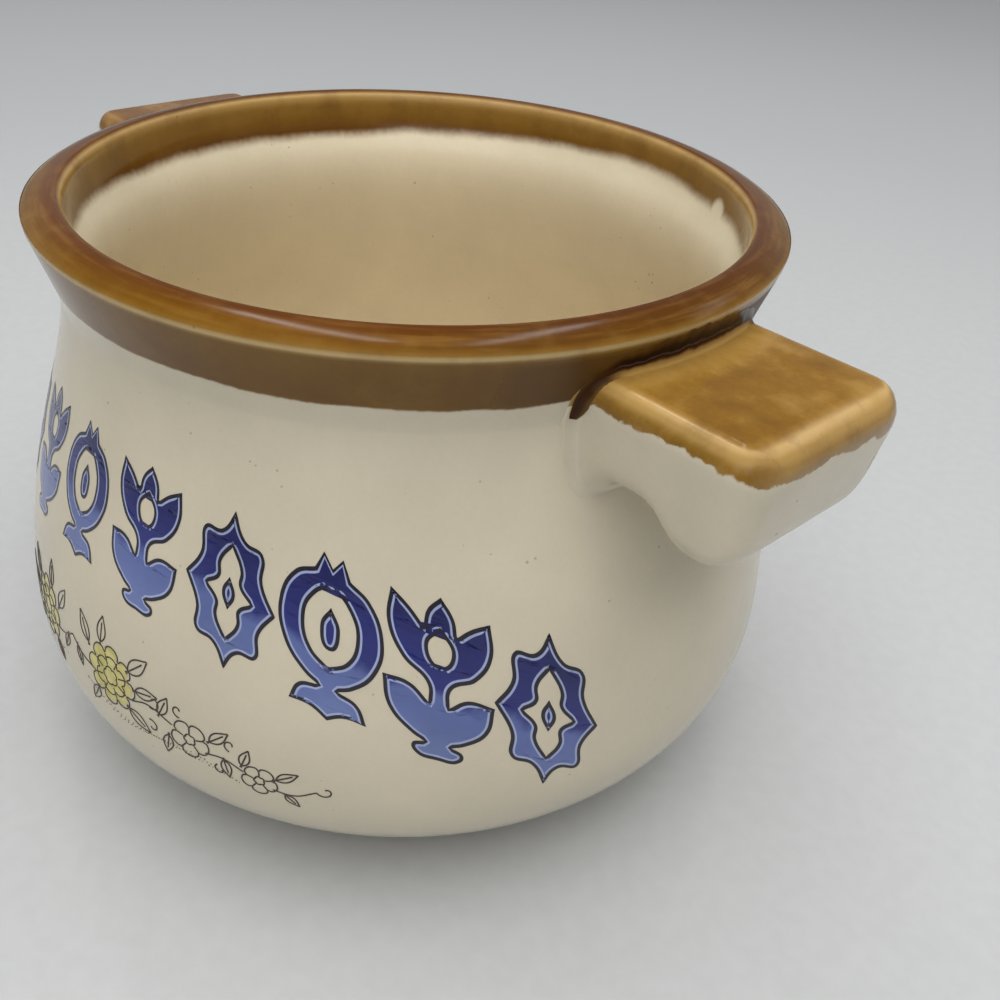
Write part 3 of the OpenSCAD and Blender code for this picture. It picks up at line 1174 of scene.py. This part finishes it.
def bloom_tint(x, y, size):
    """A yellow sheet over the bloom on each side, on the flat."""
    shape = new_curve("tint", "2D")
    for mirror in (1, -1):
        points = petals(x, y, size, 8, petal_depth, petal_turn)
        spline = shape.splines.new("POLY")
        spline.points.add(len(points) - 1)
        for knot, (px, py) in zip(spline.points, points):
            knot.co = (mirror * px * MM, py * MM, 0, 1)
        spline.use_cyclic_u = True
    bm = mesh_of(shape)
    cut_to_grid(bm, cut_step * MM)
    for f in bm.faces:
        if f.normal.z < 0:
            f.normal_flip()
    return bm


def stipple_dots():
    """The dots on both sides as small discs on the flat."""
    bm = bmesh.new()
    for mirror in (1, -1):
        for i, (x, y) in enumerate(stipple):
            radius = (0.09 + 0.06 * (i * 0.37 % 1)) * MM
            middle = Matrix.Translation((mirror * x * MM, y * MM, 0))
            bmesh.ops.create_circle(bm, cap_ends=True, segments=6, radius=radius, matrix=middle)
    return bm


def onto_pot(bm, name, material, lift):
    """Bends a flat print of the spray onto the pot and finishes it as a piece."""
    spray_r = 64.8
    line_flatness = 0.35
    for v in bm.verts:
        around = math.degrees(v.co.x / MM / spray_r)
        v.co = on_pot(front + around, v.co.y / MM, lift + line_flatness * v.co.z / MM)
    piece = finish_mesh(bm, name, [material], 180)
    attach(piece, "root")


# The tint lies lowest and a little off the bloom's lines, as such prints do
line_wide = 0.27
tint_lift = 0.03
line_lift = 0.05
dot_lift = 0.06
lines = line_print("spray_lines", line_wide)
onto_pot(lines, "spray_lines", brown_line, line_lift)
onto_pot(bloom_tint(10.2, 37.2, 5.2), "spray_yellow", yellow, tint_lift)
onto_pot(stipple_dots(), "spray_stipple", brown_line, dot_lift)


# Studio
# A plain pale floor under a broad, soft lamp, with a weaker one behind the camera. Two thin
# tubes make the streaks on the near lip, a faint strip stands behind the pot, and a grey room
# stands in for what the glaze mirrors.
floor_skin, tree, shader = new_material("pale_table")
spot = object_place(tree)
grain = noise(tree, spot, 300, 3)
tone = ramp(tree, grain, [(0.3, colour(187, 189, 190)), (0.7, colour(190, 192, 193))])
from_pot = vectors(tree, "LENGTH", spot, gives="Value")
away = rescale(tree, from_pot, 0.2, 0.46, smooth=True)
tree.links.new(blend(tree, away, tone, colour(182, 185, 187)), shader.inputs["Base Color"])

# Far from the pot the floor glows faintly, so that it doesn't end in a dark band
into_room = rescale(tree, from_pot, 0.75, 2.2)
glow = ramp(tree, into_room, [(0.0, grey(0)), (1.0, grey(0.2))])
tree.links.new(glow, shader.inputs["Emission Color"])
shader.inputs["Emission Strength"].default_value = 1.0
shader.inputs["Roughness"].default_value = 0.7
bm = bmesh.new()
floor_r = 3.0
bmesh.ops.create_circle(bm, cap_ends=True, segments=96, radius=floor_r)
finish_mesh(bm, "table", [floor_skin])


def soft_box(name, place, aim, width, height, power, along=None):
    """An area light at place that shines at aim, its width laid along a direction."""
    light = bpy.data.lights.new(name, "AREA")
    light.shape = "RECTANGLE"
    light.size = width
    light.size_y = height
    light.energy = power
    light.color = (1.0, 0.99, 0.98)
    lamp = bpy.data.objects.new(name, light)
    bpy.context.scene.collection.objects.link(lamp)
    back = (Vector(place) - Vector(aim)).normalized()
    right = Vector(along or (-back.y, back.x, 0))
    right = (right - right.dot(back) * back).normalized()
    lamp.matrix_world = Matrix((right, back.cross(right), back)).transposed().to_4x4()
    lamp.location = place
    return lamp


# The broad lamp stays out of reflections, where it would be a hard white patch on the glaze
pot_middle = (0, 0, 0.05)
ceiling = soft_box("ceiling", (0.15, -0.14, 1.2), pot_middle, 1.5, 1.5, 21.1)
ceiling.visible_glossy = False
soft_box("room_behind_camera", (0.62, -0.8, 0.75), pot_middle, 1.1, 0.8, 2.6)
near_lip = (0.035, -0.04, 0.095)
right_lip = (0.045, -0.025, 0.095)
soft_box("tube_left", (-0.57, 0.21, 1.09), near_lip, 0.55, 0.06, 0.75, (0.98, -0.16, 0))
soft_box("tube_back", (-0.26, 0.535, 1.09), right_lip, 0.56, 0.06, 0.53, (-0.5, 0.87, 0))
soft_box("window_back", (0.16, 0.98, 0.84), (0.07, 0, 0.09), 0.6, 0.12, 0.2)
world = bpy.data.worlds.new("room")
world.use_nodes = True
bpy.context.scene.world = world
tree = world.node_tree
upward = axes(tree, add(tree, "ShaderNodeTexCoord", {}).outputs["Generated"]).outputs["Z"]
heights = [(0.0, grey(0.22)), (0.25, grey(0.28)), (0.55, grey(0.13)), (1.0, grey(0.1))]
room = ramp(tree, upward, heights)
background = tree.nodes["Background"]
background.inputs["Strength"].default_value = 1.0
tree.links.new(room, background.inputs["Color"])
bpy.context.scene.view_settings.view_transform = "Standard"
